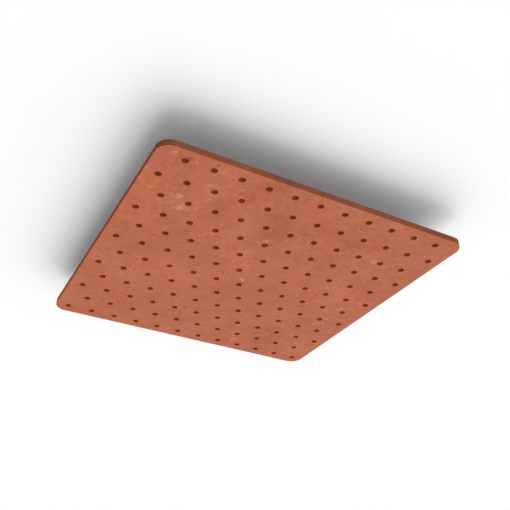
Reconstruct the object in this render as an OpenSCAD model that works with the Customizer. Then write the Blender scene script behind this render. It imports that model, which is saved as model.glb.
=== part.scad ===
// Square ceiling panel, cut from one board of pressed felt and perforated right through
// with staggered rows of round holes. It hangs level: the back face is on top, at z = 0 with
// the origin at its centre, and the visible face is below it.

/* [Board] */
// Length of the board, along the rows of holes
board_length = 600; // [400:50:1200]
// Width of the board, across the rows of holes
board_width = 600; // [400:50:1200]
// Thickness of the board
board_thickness = 12; // [6:1:25]
// Radius of the rounded corners, seen in plan
corner_radius = 25; // [5:1:40]

/* [Perforation] */
// Diameter of each hole
hole_diameter = 12; // [4:1:20]
// Distance between neighbouring holes of one row
hole_spacing = 50; // [40:5:100]
// Distance between neighbouring rows
row_spacing = 50; // [40:5:100]
// Least distance from the board's border to the centre of a hole
edge_margin = 25; // [25:1:60]

/* [Hidden] */

// How far a hole's cutter runs past each face
cutter_overrun = 1;
// Share of a spacing by which rounding may fall short of a whole number of spacings
rounding_slack = 0.001;
// Facets of the curves in a quick view
$fn = 64;

// Holes in a full row, and rows on the board, with one at each end of the span
full_row_holes = fit_count(board_length, hole_spacing);
row_count = fit_count(board_width, row_spacing);

// Number of places that fit across a size, the margins at its two ends left free
function fit_count(size, spacing) = floor((size - 2 * edge_margin) / spacing + rounding_slack) + 1;

// Every second row is full, and those between have one hole fewer and sit half a spacing along
function holes_in_row(row) = full_row_holes - (row % 2 == 0 ? 1 : 0);

// Place of the first of a number of points that are spread evenly about the middle
function first_place(count, spacing) = -(count - 1) * spacing / 2;

module board_outline() {
    straight_length = board_length - 2 * corner_radius;
    straight_width = board_width - 2 * corner_radius;
    square([board_length, straight_width], center = true);
    square([straight_length, board_width], center = true);
    for (x = [-1, 1], y = [-1, 1])
        translate([x * straight_length / 2, y * straight_width / 2])
            circle(r = corner_radius);
}

module hole_cutter() {
    translate([0, 0, -board_thickness - cutter_overrun])
        cylinder(h = board_thickness + 2 * cutter_overrun, d = hole_diameter);
}

module row_cutters(row) {
    count = holes_in_row(row);
    for (i = [0 : count - 1])
        translate([first_place(count, hole_spacing) + i * hole_spacing, 0, 0])
            hole_cutter();
}

module felt_panel() {
    color("#b86c51")
        difference() {
            translate([0, 0, -board_thickness])
                linear_extrude(height = board_thickness)
                    board_outline();
            for (row = [0 : row_count - 1])
                translate([0, first_place(row_count, row_spacing) + row * row_spacing, 0])
                    row_cutters(row);
        }
}

felt_panel();
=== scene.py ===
import math

import bpy
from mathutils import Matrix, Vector


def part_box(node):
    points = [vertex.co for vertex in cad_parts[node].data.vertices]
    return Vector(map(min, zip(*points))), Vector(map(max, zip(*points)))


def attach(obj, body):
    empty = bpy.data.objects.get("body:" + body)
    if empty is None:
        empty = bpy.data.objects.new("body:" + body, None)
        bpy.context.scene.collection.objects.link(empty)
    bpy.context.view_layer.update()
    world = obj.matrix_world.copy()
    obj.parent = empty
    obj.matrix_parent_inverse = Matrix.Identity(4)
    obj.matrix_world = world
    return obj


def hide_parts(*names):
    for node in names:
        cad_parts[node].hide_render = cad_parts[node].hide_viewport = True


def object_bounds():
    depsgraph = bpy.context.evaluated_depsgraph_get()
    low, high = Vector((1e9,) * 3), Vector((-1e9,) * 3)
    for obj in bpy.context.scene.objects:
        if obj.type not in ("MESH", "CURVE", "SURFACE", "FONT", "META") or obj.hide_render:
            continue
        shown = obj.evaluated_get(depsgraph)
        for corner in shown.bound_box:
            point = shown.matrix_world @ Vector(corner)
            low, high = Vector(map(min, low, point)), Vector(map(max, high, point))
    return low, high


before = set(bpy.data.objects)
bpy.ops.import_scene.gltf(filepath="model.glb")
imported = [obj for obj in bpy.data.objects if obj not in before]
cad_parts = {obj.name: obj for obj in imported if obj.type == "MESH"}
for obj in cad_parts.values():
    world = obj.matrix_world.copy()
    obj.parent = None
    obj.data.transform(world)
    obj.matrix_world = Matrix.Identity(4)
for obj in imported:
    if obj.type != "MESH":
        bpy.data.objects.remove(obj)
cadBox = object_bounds()


def screenColour(red, green, blue):
    # a colour as it looks on screen, 0 to 255, as Blender's linear one
    def linear(level):
        level = level / 255
        return level / 12.92 if level <= 0.04045 else ((level + 0.055) / 1.055) ** 2.4
    return (linear(red), linear(green), linear(blue), 1)


# modelling helpers

def selectOnly(obj):
    bpy.ops.object.select_all(action="DESELECT")
    obj.select_set(True)
    bpy.context.view_layer.objects.active = obj


def applyModifier(obj, kind, **settings):
    selectOnly(obj)
    modifier = obj.modifiers.new(kind.lower(), kind)
    for name, value in settings.items():
        setattr(modifier, name, value)
    bpy.ops.object.modifier_apply(modifier=modifier.name)


def selectEdges(obj, test):
    # leaves edit mode on, with only the edges whose two ends pass the test selected
    selectOnly(obj)
    bpy.ops.object.mode_set(mode="EDIT")
    bpy.ops.mesh.select_mode(type="EDGE")
    bpy.ops.mesh.select_all(action="DESELECT")
    bpy.ops.object.mode_set(mode="OBJECT")
    points = obj.data.vertices
    for edge in obj.data.edges:
        edge.select = test(points[edge.vertices[0]].co, points[edge.vertices[1]].co)
    bpy.ops.object.mode_set(mode="EDIT")


# the board, in metres and degrees; its outline and thickness come from the frame
board = {
    "cornerRadius": 0.025,
    "cornerSegments": 14,
    "holeRadius": 0.006,
    "holeSides": 36,
    "pitch": 0.050,
    "edgeMargin": 0.025,
    "arrisWidth": 0.0003,
    "arrisSegments": 2,
    "arrisAngle": 60,  # edges that turn by more than this are eased
    "smoothAngle": 50,  # edges that turn by less than this are shaded smooth
    "levelNormal": 0.9,  # a face whose normal has this much of Z in it counts as level
}


def makeBlank(low, high):
    # the square board with its corners rounded in plan
    bpy.ops.mesh.primitive_cube_add(size=1, location=(low + high) / 2)
    blank = bpy.context.object
    blank.scale = high - low
    bpy.ops.object.transform_apply(location=True, rotation=True, scale=True)
    # the four upright edges
    selectEdges(blank, lambda start, end: abs(start.z - end.z) > (high - low).z / 2)
    bpy.ops.mesh.bevel(offset=board["cornerRadius"], segments=board["cornerSegments"], affect="EDGES")
    bpy.ops.object.mode_set(mode="OBJECT")
    return blank


def makePunch(holes, rows, firstRow, low, high):
    # cutters for so many rows, every second one from firstRow on, with so many holes in a row
    pitch = board["pitch"]
    middle = (low + high) / 2
    bpy.ops.mesh.primitive_cylinder_add(
        vertices=board["holeSides"],
        radius=board["holeRadius"],
        depth=(high - low).z * 2,
        location=(middle.x - (holes - 1) * pitch / 2, firstRow, middle.z),
    )
    punch = bpy.context.object
    bpy.ops.object.transform_apply(location=True, rotation=True, scale=True)
    applyModifier(punch, "ARRAY", count=holes, use_relative_offset=False,
                  use_constant_offset=True, constant_offset_displace=(pitch, 0, 0))
    applyModifier(punch, "ARRAY", count=rows, use_relative_offset=False,
                  use_constant_offset=True, constant_offset_displace=(0, 2 * pitch, 0))
    return punch


def makeBoard():
    low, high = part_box("felt_panel")
    size = high - low
    pitch = board["pitch"]
    blank = makeBlank(low, high)
    blank.name = "felt_board"
    fullRow = round((size.x - 2 * board["edgeMargin"]) / pitch) + 1
    rows = round((size.y - 2 * board["edgeMargin"]) / pitch) + 1
    firstRow = (low.y + high.y) / 2 - (rows - 1) * pitch / 2
    # the first row and every second one after it are a hole short, and those between are full
    shortRows = makePunch(fullRow - 1, (rows + 1) // 2, firstRow, low, high)
    fullRows = makePunch(fullRow, rows // 2, firstRow + pitch, low, high)
    for punch in (shortRows, fullRows):
        applyModifier(blank, "BOOLEAN", operation="DIFFERENCE", solver="EXACT", object=punch)
        bpy.data.objects.remove(punch)
    applyModifier(blank, "BEVEL", width=board["arrisWidth"], segments=board["arrisSegments"],
                  limit_method="ANGLE", angle_limit=math.radians(board["arrisAngle"]),
                  use_clamp_overlap=False)
    selectOnly(blank)
    bpy.ops.object.shade_smooth_by_angle(angle=math.radians(board["smoothAngle"]))
    applyModifier(blank, "WEIGHTED_NORMAL", keep_sharp=True)
    print(f"board: {rows} rows, {len(blank.data.polygons)} faces")
    return blank


# shader helpers

noiseMean = 0.5  # what a noise texture gives on average


class Wire:
    # one output of a shader node, so that shader maths reads as arithmetic
    def __init__(self, nodes, socket):
        self.nodes = nodes
        self.socket = socket

    def combined(self, operation, first, second):
        return self.nodes.add("ShaderNodeMath", {"operation": operation}, {0: first, 1: second})

    def __add__(self, other):
        return self.combined("ADD", self, other)

    def __sub__(self, other):
        return self.combined("SUBTRACT", self, other)

    def __rsub__(self, other):
        return self.combined("SUBTRACT", other, self)

    def __mul__(self, other):
        return self.combined("MULTIPLY", self, other)

    def __lt__(self, other):
        return self.combined("LESS_THAN", self, other)

    def __abs__(self):
        return self.combined("ABSOLUTE", self, 0)

    __radd__ = __add__
    __rmul__ = __mul__

    def sibling(self, name):
        # another output of the same node
        return Wire(self.nodes, self.socket.node.outputs[name])


class Nodes:
    # the node tree of a material or of the world
    def __init__(self, owner):
        owner.use_nodes = True
        self.tree = owner.node_tree
        self.tree.nodes.clear()

    def add(self, kind, settings=None, sockets=None, output=0):
        # a new node with its settings and the values or links of its sockets, as a wire from one output
        node = self.tree.nodes.new(kind)
        for name, value in (settings or {}).items():
            setattr(node, name, value)
        for name, value in (sockets or {}).items():
            if isinstance(value, Wire):
                self.tree.links.new(value.socket, node.inputs[name])
            else:
                node.inputs[name].default_value = value
        return Wire(self, node.outputs[output]) if node.outputs else None

    def step(self, value, start, end):
        # 0 below start and 1 above end, smooth between them
        return self.add("ShaderNodeMapRange", {"interpolation_type": "SMOOTHSTEP"},
                        {"Value": value, "From Min": start, "From Max": end})

    def largest(self, first, second):
        return self.add("ShaderNodeMath", {"operation": "MAXIMUM"}, {0: first, 1: second})

    def blend(self, factor, first, second):
        # two colours mixed; 6 and 7 are the node's colour inputs, and 2 is its colour output
        return self.add("ShaderNodeMix", {"data_type": "RGBA"}, {0: factor, 6: first, 7: second}, output=2)

    def tint(self, colour, amount, change):
        # a colour moved by so much of a change, which is three numbers
        return self.add("ShaderNodeVectorMath", {"operation": "MULTIPLY_ADD"},
                        {0: amount, 1: change, 2: colour})

    def stretched(self, place, scale):
        # a pattern read at this place is drawn out where the scale is under 1, and squashed above it
        return self.add("ShaderNodeMapping", {}, {"Vector": place, "Scale": scale})

    def moved(self, place, offset):
        return self.add("ShaderNodeMapping", {}, {"Vector": place, "Location": offset})

    def distance(self, place):
        # how far the place is from the origin
        return self.add("ShaderNodeVectorMath", {"operation": "LENGTH"}, {0: place}, output="Value")

    def towards(self, direction, target):
        # how much a direction agrees with the target one
        return self.add("ShaderNodeVectorMath", {"operation": "DOT_PRODUCT"},
                        {0: direction, 1: target}, output="Value")

    def lightPath(self, question):
        return self.add("ShaderNodeLightPath", output=question)

    def cloud(self, place, size, detail, roughness=0.5):
        # soft noise about zero, with patches of about that size in metres
        noise = self.add("ShaderNodeTexNoise", {},
                         {"Vector": place, "Scale": 1 / size, "Detail": detail, "Roughness": roughness})
        return noise - noiseMean

    def shift(self, place, size, reach):
        # the place pushed about by up to that reach, so that straight patterns curl
        push = self.add("ShaderNodeTexNoise", {},
                        {"Vector": place, "Scale": 1 / size, "Detail": 1.0}, output="Color")
        push = self.add("ShaderNodeVectorMath", {"operation": "SUBTRACT"}, {0: push, 1: (noiseMean,) * 3})
        push = self.add("ShaderNodeVectorMath", {"operation": "SCALE"}, {0: push, "Scale": reach})
        return self.add("ShaderNodeVectorMath", {"operation": "ADD"}, {0: place, 1: push})


# the felt; sizes are in metres, angles in radians, and a tone is the share of the way from deep to pale
felt = {
    "pale": screenColour(201, 123, 94),
    "deep": screenColour(166, 86, 56),
    "midTone": 0.5,
    "loose": screenColour(232, 160, 130),  # loose fibres, and the sheen
    "pit": screenColour(132, 43, 10),  # the darkest hairs
    # two more dyes: which way each pulls red, green and blue, and the size of its patches
    "redder": (0.062, -0.012, -0.014),
    "rosier": (0.003, -0.025, 0.015),
    "redSize": 0.083,
    "roseSize": 0.047,
    "dyeDetail": 3.0,
    # clouds of tone
    "cloudSize": 0.140,
    "cloudGain": 1.70,
    "cloudDetail": 5.0,
    "cloudRoughness": 0.85,
    # fuzz, at the size of a few fibres
    "fuzzSize": 0.0075,
    "fuzzGain": 0.36,
    "fuzzDetail": 3.0,
    "fuzzRoughness": 0.7,
    # clouds and fuzz lose this share between these two places along Y
    "calm": 0.22,
    "calmStart": -0.12,
    "calmEnd": 0.0,
    # the fibres curl, and are drawn out a little along Y, the way that the felt ran through the machine
    "curlSize": 0.009,
    "curlReach": 0.004,
    "drawn": 0.80,
    # the mat of fibres
    "fibreAngles": (0.3, 1.1, 1.9, 2.8),
    "fibreLength": 0.011,
    "fibreWidth": 0.0011,
    "fibreGain": 0.23,
    "fibreMean": 0.4,
    "ridge": 0.09,  # how far from zero the noise still shows as a fibre
    # clumps of paler and of darker hairs, and patches that have more of them
    "patchSize": 0.045,
    "patchGain": 0.42,
    "clumpSize": 0.012,
    "paleStart": 0.132,
    "darkStart": 0.128,
    "clumpRise": 0.30,
    "clumpDetail": 1.0,
    "asideOffset": (0.41, -0.33, 0),  # how far off the darker pattern is read, so that it differs
    "hairAngles": (0.2, 1.3, 2.4),
    "hairLength": 0.007,
    "hairWidth": 0.0007,
    "hairDepth": 0.8,
    "knotSize": 0.0050,
    "knotStart": -0.02,
    "knotEnd": 0.10,
    "looseDepth": 0.60,
    "pitDepth": 0.78,
    # what a tuft does to the clumps in it, and how its outline frays
    "tuftLift": 0.34,
    "tuftDarkLift": 0.06,
    "tuftEvenness": 0.5,
    "tuftFraySize": 0.008,
    "tuftFrayReach": 0.012,
    # single fibres, each in a cell of its own; the shares are of the cells that have one
    "strandLength": 0.010,
    "strandWidth": 0.0005,
    "strandBend": 2.0,
    "strandSqueeze": (0.9, 1.5),  # how much the longest and the shortest fibre are shortened
    "strandTaper": (0.2, 0.5),  # where a fibre starts to fade and where it ends, in cells from its middle
    "strandDepth": 0.8,
    "looseShare": 0.07,
    "tuftShare": 0.4,
    "darkShare": 0.06,
    # the surface
    "relief": 0.00014,
    "roughness": 0.95,
    "specular": 0.1,
    "sheen": 0.17,
    "sheenRoughness": 0.3,
}


def feltShader(nodes, colour, height, relief):
    bump = nodes.add("ShaderNodeBump", {}, {"Strength": 1.0, "Distance": relief, "Height": height})
    shader = nodes.add("ShaderNodeBsdfPrincipled", {}, {
        "Base Color": colour,
        "Normal": bump,
        "Roughness": felt["roughness"],
        "Specular IOR Level": felt["specular"],
        "Sheen Weight": felt["sheen"],
        "Sheen Roughness": felt["sheenRoughness"],
        "Sheen Tint": felt["loose"],
    })
    nodes.add("ShaderNodeOutputMaterial", {}, {"Surface": shader})


def fibreRidges(nodes, place, angle, length, width):
    # fine fibres that all run about one way, from 0 between them to 1 on their ridges
    along = nodes.add("ShaderNodeMapping", {"vector_type": "TEXTURE"}, {
        "Vector": place,
        "Rotation": (0, 0, angle),
        "Scale": (length, width, length),
    })
    return 1 - nodes.step(abs(nodes.cloud(along, 1.0, detail=1.0)), 0, felt["ridge"])


def fibreMat(nodes, place):
    # fibres that cross in several directions, about zero
    mat = 0.0
    for angle in felt["fibreAngles"]:
        mat = mat + fibreRidges(nodes, place, angle, felt["fibreLength"], felt["fibreWidth"])
    return mat * (1 / len(felt["fibreAngles"])) - felt["fibreMean"]


def mottling(nodes, place, drawnOut):
    # clouds and fuzz, which are calmer towards the +Y border
    clouds = nodes.cloud(place, felt["cloudSize"], felt["cloudDetail"], felt["cloudRoughness"])
    fuzz = nodes.cloud(drawnOut, felt["fuzzSize"], felt["fuzzDetail"], felt["fuzzRoughness"])
    placeY = nodes.add("ShaderNodeSeparateXYZ", {}, {"Vector": place}, output="Y")
    strength = 1 - nodes.step(placeY, felt["calmStart"], felt["calmEnd"]) * felt["calm"]
    return (clouds * felt["cloudGain"] + fuzz * felt["fuzzGain"]) * strength


def singleFibres(nodes, place, share):
    # fibres that lie on the surface, each bent its own way: 1 on a fibre and 0 beside it
    length = felt["strandLength"]
    chance = nodes.add("ShaderNodeTexVoronoi", {"voronoi_dimensions": "2D"},
                       {"Vector": place, "Scale": 1 / length}, output="Color")
    turn = nodes.add("ShaderNodeSeparateXYZ", {}, {"Vector": chance}, output="X")
    vary = turn.sibling("Y")
    present = turn.sibling("Z") < share
    local = nodes.add("ShaderNodeVectorMath", {"operation": "SUBTRACT"},
                      {0: place, 1: chance.sibling("Position")})
    local = nodes.add("ShaderNodeVectorRotate", {"rotation_type": "Z_AXIS"},
                      {"Vector": local, "Angle": turn * math.tau})
    along = nodes.add("ShaderNodeSeparateXYZ", {}, {"Vector": local}, output="X")
    # the fibre follows a shallow arc, to one side or the other
    across = abs(along.sibling("Y") + (vary - 0.5) * along * along * (felt["strandBend"] / length))
    fadeStart, fadeEnd = felt["strandTaper"]
    least, most = felt["strandSqueeze"]
    squeeze = least + vary * (most - least)
    ends = 1 - nodes.step(abs(along) * squeeze, length * fadeStart, length * fadeEnd)
    return (1 - nodes.step(across, 0, felt["strandWidth"])) * ends * present


# tufts of paler fibre on the visible face: where each one is, how far it reaches, both in metres,
# and how dense it is; the last one is a wide, loosely felted area
tufts = [
    (-0.207, -0.160, 0.018, 1.25),
    (-0.221, -0.187, 0.017, 1.25),
    (-0.194, -0.236, 0.016, 1.2),
    (-0.276, -0.284, 0.014, 0.9),
    (-0.153, -0.085, 0.011, 0.8),
    (-0.030, -0.140, 0.012, 1.2),
    (0.186, -0.176, 0.014, 1.1),
    (0.025, -0.113, 0.010, 0.7),
    (0.000, 0.004, 0.010, 0.4),
    (0.059, 0.034, 0.010, 0.7),
    (0.240, 0.013, 0.014, 0.8),
    (0.226, 0.090, 0.014, 0.85),
    (-0.100, 0.110, 0.013, 0.8),
    (-0.223, 0.155, 0.012, 0.8),
    (0.105, 0.255, 0.020, 1.0),
    (-0.215, -0.200, 0.090, 0.42),
]


def tuftMask(nodes, place):
    # a tuft's density in its middle and 0 outside all of them
    faceHeight = cadBox[0].z
    mask = 0.0
    for x, y, reach, density in tufts:
        distance = nodes.distance(nodes.moved(place, (-x, -y, -faceHeight)))
        mask = nodes.largest(mask, (1 - nodes.step(distance, 0, reach)) * density)
    return mask


def looseAndDark(nodes, place, drawnOut):
    # where paler and where darker hairs and single fibres show, each from 0 to 1
    frayed = nodes.shift(place, felt["tuftFraySize"], felt["tuftFrayReach"])
    tuft = tuftMask(nodes, frayed)
    aside = nodes.moved(drawnOut, felt["asideOffset"])

    # the clumps: hairs are paler in some and darker in others, with more of the paler ones in a tuft
    patches = nodes.cloud(place, felt["patchSize"], felt["clumpDetail"]) * felt["patchGain"]
    pale = nodes.cloud(drawnOut, felt["clumpSize"], felt["clumpDetail"]) * (1 - tuft * felt["tuftEvenness"])
    pale = pale + patches + tuft * felt["tuftLift"]
    pale = nodes.step(pale, felt["paleStart"], felt["paleStart"] + felt["clumpRise"])
    dark = nodes.cloud(aside, felt["clumpSize"], felt["clumpDetail"])
    dark = dark + patches + tuft * felt["tuftDarkLift"]
    dark = nodes.step(dark, felt["darkStart"], felt["darkStart"] + felt["clumpRise"])

    # what a clump is made of: hairs, and knots where they are matted together
    hairs = 0.0
    for angle in felt["hairAngles"]:
        ridges = fibreRidges(nodes, drawnOut, angle, felt["hairLength"], felt["hairWidth"])
        hairs = nodes.largest(hairs, ridges)
    knots = nodes.cloud(drawnOut, felt["knotSize"], felt["clumpDetail"])
    knots = nodes.step(knots, felt["knotStart"], felt["knotEnd"])
    hairs = nodes.largest(hairs * felt["hairDepth"], knots)

    strand = singleFibres(nodes, drawnOut, felt["looseShare"] + tuft * felt["tuftShare"])
    darkStrand = singleFibres(nodes, aside, felt["darkShare"])
    return (nodes.largest(hairs * pale, strand * felt["strandDepth"]),
            nodes.largest(hairs * dark, darkStrand * felt["strandDepth"]))


def makeFaceFelt():
    material = bpy.data.materials.new("face felt")
    nodes = Nodes(material)
    place = nodes.add("ShaderNodeTexCoord", output="Object")
    curled = nodes.shift(place, felt["curlSize"], felt["curlReach"])
    drawnOut = nodes.stretched(curled, (1, felt["drawn"], 1))
    mat = fibreMat(nodes, drawnOut)
    tone = felt["midTone"] + mottling(nodes, place, drawnOut) + mat * felt["fibreGain"]
    colour = nodes.blend(tone, felt["deep"], felt["pale"])
    colour = nodes.tint(colour, nodes.cloud(place, felt["redSize"], felt["dyeDetail"]), felt["redder"])
    colour = nodes.tint(colour, nodes.cloud(drawnOut, felt["roseSize"], felt["dyeDetail"]), felt["rosier"])
    loose, dark = looseAndDark(nodes, place, drawnOut)
    colour = nodes.blend(dark * felt["pitDepth"], colour, felt["pit"])
    colour = nodes.blend(loose * felt["looseDepth"], colour, felt["loose"])
    feltShader(nodes, colour, tone + mat + loose - dark, felt["relief"])
    return material


# the cut border and the cut walls of the holes, where the layers of pressed fibre show; the holes' walls
# are a darker, redder copy of the border's felt, as painted shade inside the holes
cutEdge = {
    "borderPale": screenColour(198, 119, 92),
    "borderDeep": screenColour(160, 83, 60),
    # the holes' walls: the same cut felt made darker and redder, painted shade inside the holes
    "boreShadedPale": screenColour(193, 99, 48),
    "boreShadedDeep": screenColour(157, 65, 20),
    "curlReach": 0.0015,
    # level layers, how flat they are pressed, and finer lines between them
    "layerSize": 0.005,
    "layerSquash": 6.0,
    "layerGain": 0.7,
    "layerDetail": 3.0,
    "layerRoughness": 0.7,
    "lineSize": 0.009,
    "lineSquash": 14.0,
    "lineGain": 0.35,
    "lineDetail": 2.0,
    "lineRidge": 0.07,
    "lineMean": 0.6,
    # the cut ends of the fibres
    "endSize": 0.0011,
    "endGain": 0.55,
    "endDetail": 1.0,
    "relief": 0.00006,
}


def makeCutFelt(name, deep, pale):
    # a cut through the layers of fibres, which run level
    material = bpy.data.materials.new(name)
    nodes = Nodes(material)
    place = nodes.add("ShaderNodeTexCoord", output="Object")
    curled = nodes.shift(place, felt["curlSize"], cutEdge["curlReach"])
    clouds = nodes.cloud(place, felt["cloudSize"], felt["cloudDetail"], felt["cloudRoughness"])
    layers = nodes.cloud(nodes.stretched(curled, (1, 1, cutEdge["layerSquash"])),
                         cutEdge["layerSize"], cutEdge["layerDetail"], cutEdge["layerRoughness"])
    lines = nodes.cloud(nodes.stretched(curled, (1, 1, cutEdge["lineSquash"])),
                        cutEdge["lineSize"], cutEdge["lineDetail"])
    lines = nodes.step(abs(lines), 0, cutEdge["lineRidge"]) - cutEdge["lineMean"]
    ends = nodes.cloud(place, cutEdge["endSize"], cutEdge["endDetail"])
    grain = layers * cutEdge["layerGain"] + lines * cutEdge["lineGain"] + ends * cutEdge["endGain"]
    tone = felt["midTone"] + clouds * felt["cloudGain"] + grain
    colour = nodes.blend(tone, deep, pale)
    feltShader(nodes, colour, tone, cutEdge["relief"])
    return material


def depthFromBorder(point, low, high):
    # how far a point lies inside the rounded outline, seen in plan
    radius = board["cornerRadius"]
    pastX = abs(point.x - (low.x + high.x) / 2) - (high.x - low.x) / 2 + radius
    pastY = abs(point.y - (low.y + high.y) / 2) - (high.y - low.y) / 2 + radius
    return radius - math.hypot(max(pastX, 0), max(pastY, 0))


def dress(obj):
    low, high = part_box("felt_panel")
    finishes = {
        "face": makeFaceFelt(),
        "border": makeCutFelt("border felt", cutEdge["borderDeep"], cutEdge["borderPale"]),
        # the holes' walls get the darker, redder copy of the cut felt, as painted shade inside the holes
        "bore": makeCutFelt("bore felt with painted shade", cutEdge["boreShadedDeep"], cutEdge["boreShadedPale"]),
    }
    obj.data.materials.clear()
    for material in finishes.values():
        obj.data.materials.append(material)
    slots = list(finishes)
    for polygon in obj.data.polygons:
        if abs(polygon.normal.z) > board["levelNormal"]:
            finish = "face"
        elif depthFromBorder(polygon.center, low, high) < board["holeRadius"]:
            finish = "border"
        else:
            finish = "bore"
        polygon.material_index = slots.index(finish)


# the room, in metres: a white ceiling that is seen only from below, and a pale floor only from above
room = {
    "ceilingHeight": 0.058,
    "ceilingColour": (1, 1, 1, 1),
    "ceilingGlow": 0.10,
    "floorDrop": 0.0005,
    "floorColour": (0.9, 0.9, 0.9, 1),
    "floorGlow": 0.0,
    "halfWidth": 12.0,
    "fadeStart": 0.6,
    "fadeEnd": 4.0,
}


def makePlane(name, height, showsUnderside, colour, glow):
    bpy.ops.object.select_all(action="DESELECT")
    bpy.ops.mesh.primitive_plane_add(size=2 * room["halfWidth"], location=(0, 0, height))
    plane = bpy.context.object
    plane.name = name
    material = bpy.data.materials.new(name)
    nodes = Nodes(material)
    underside = nodes.add("ShaderNodeNewGeometry", output="Backfacing")
    hidden = 1 - underside if showsUnderside else underside
    # far away the plane fades to plain white, so that no horizon shows
    distance = nodes.distance(nodes.add("ShaderNodeTexCoord", output="Object"))
    glow = nodes.largest(glow, nodes.step(distance, room["fadeStart"], room["fadeEnd"]))
    matte = nodes.add("ShaderNodeBsdfDiffuse", {}, {"Color": colour})
    glowing = nodes.add("ShaderNodeEmission", {}, {"Color": (1, 1, 1, 1)})
    solid = nodes.add("ShaderNodeMixShader", {}, {0: glow, 1: matte, 2: glowing})
    clear = nodes.add("ShaderNodeBsdfTransparent")
    surface = nodes.add("ShaderNodeMixShader", {}, {0: hidden, 1: solid, 2: clear})
    nodes.add("ShaderNodeOutputMaterial", {}, {"Surface": surface})
    plane.data.materials.append(material)
    plane.visible_diffuse = False
    plane.visible_glossy = False
    plane.visible_transmission = False
    plane.visible_shadow = False


# a shift is how far towards X and Y a light stands for each metre that it is below or above the board
light = {
    "ambient": 0.68,
    "ambientLean": (1.0, 0.44, 0.0),
    "fill": 0.09,
    "overhead": 6.35,
    "overheadShift": (-0.04, -0.16),
    "overheadFocus": 12,
    "seenDepth": 2.5,  # a ray that leaves what the camera sees has a depth of 2, and later ones have more
    "belowShift": (0.0, 0.16),
    "belowLevel": 0.134,
    "belowAngle": 25.0,
    "sideShift": (0.67, 0.905),
    "sideLevel": 0.187,
    "sideAngle": 45.6,
}


def makeSun(name, shift, level, angle):
    # a soft light from below; level is what it adds to a face that looks straight down
    data = bpy.data.lights.new(name, "SUN")
    toLight = Vector((*shift, -1)).normalized()
    data.energy = level * math.pi / -toLight.z
    data.angle = math.radians(angle)
    sun = bpy.data.objects.new(name, data)
    sun.rotation_euler = (-toLight).to_track_quat("-Z", "Y").to_euler()
    bpy.context.scene.collection.objects.link(sun)


def makeWorld():
    # soft light from below that leans to one side, and a pool of light overhead
    world = bpy.data.worlds.new("studio")
    bpy.context.scene.world = world
    nodes = Nodes(world)
    # the camera, and any mirror or glass, sees plain white
    seen = nodes.largest(nodes.lightPath("Is Camera Ray"), nodes.lightPath("Is Glossy Ray"))
    seen = nodes.largest(seen, nodes.lightPath("Is Transmission Ray"))
    direction = nodes.add("ShaderNodeTexCoord", output="Generated")
    below = nodes.add("ShaderNodeSeparateXYZ", {}, {"Vector": direction}, output="Z") < 0
    lean = nodes.largest(1 + nodes.towards(direction, light["ambientLean"]), 0.0)
    overhead = Vector((*light["overheadShift"], 1)).normalized()
    pool = nodes.add("ShaderNodeMath", {"operation": "POWER"}, {
        0: nodes.largest(nodes.towards(direction, overhead), 0.0),
        1: light["overheadFocus"],
    })
    # light from above reaches only what the camera sees, so the board's back doesn't tint the shadow
    above = (1 - below) * (nodes.lightPath("Ray Depth") < light["seenDepth"])
    level = below * lean * light["ambient"] + above * (pool * light["overhead"] + light["fill"])
    level = seen + (1 - seen) * level
    background = nodes.add("ShaderNodeBackground", {}, {"Color": (1, 1, 1, 1), "Strength": level})
    nodes.add("ShaderNodeOutputWorld", {}, {"Surface": background})
    world.cycles.sampling_method = "NONE"


# the photograph's camera: where it stands and what it looks at, in metres, and its lens in millimetres
view = {
    "stand": Vector((-0.5615, -1.0711, -0.7232)),
    "aim": Vector((-0.0246, -0.0880, -0.0120)),
    "lens": 50.0,
    "sensor": 36.0,
}


def makeCamera():
    data = bpy.data.cameras.new("camera")
    data.lens = view["lens"]
    data.sensor_width = view["sensor"]
    camera = bpy.data.objects.new("camera", data)
    camera.location = view["stand"]
    camera.rotation_euler = (view["aim"] - view["stand"]).to_track_quat("-Z", "Y").to_euler()
    bpy.context.scene.collection.objects.link(camera)
    bpy.context.scene.camera = camera


makeCamera()
panel = makeBoard()
dress(panel)
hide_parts("felt_panel")
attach(panel, "root")
print("board dressed")

ceilingLevel = cadBox[1].z + room["ceilingHeight"]
floorLevel = cadBox[0].z - room["floorDrop"]
makePlane("ceiling", ceilingLevel, True, room["ceilingColour"], room["ceilingGlow"])
makePlane("floor", floorLevel, False, room["floorColour"], room["floorGlow"])
makeSun("light from below", light["belowShift"], light["belowLevel"], light["belowAngle"])
makeSun("light from the far side", light["sideShift"], light["sideLevel"], light["sideAngle"])
makeWorld()
bpy.context.scene.view_settings.view_transform = "Standard"
print("room and lights ready")
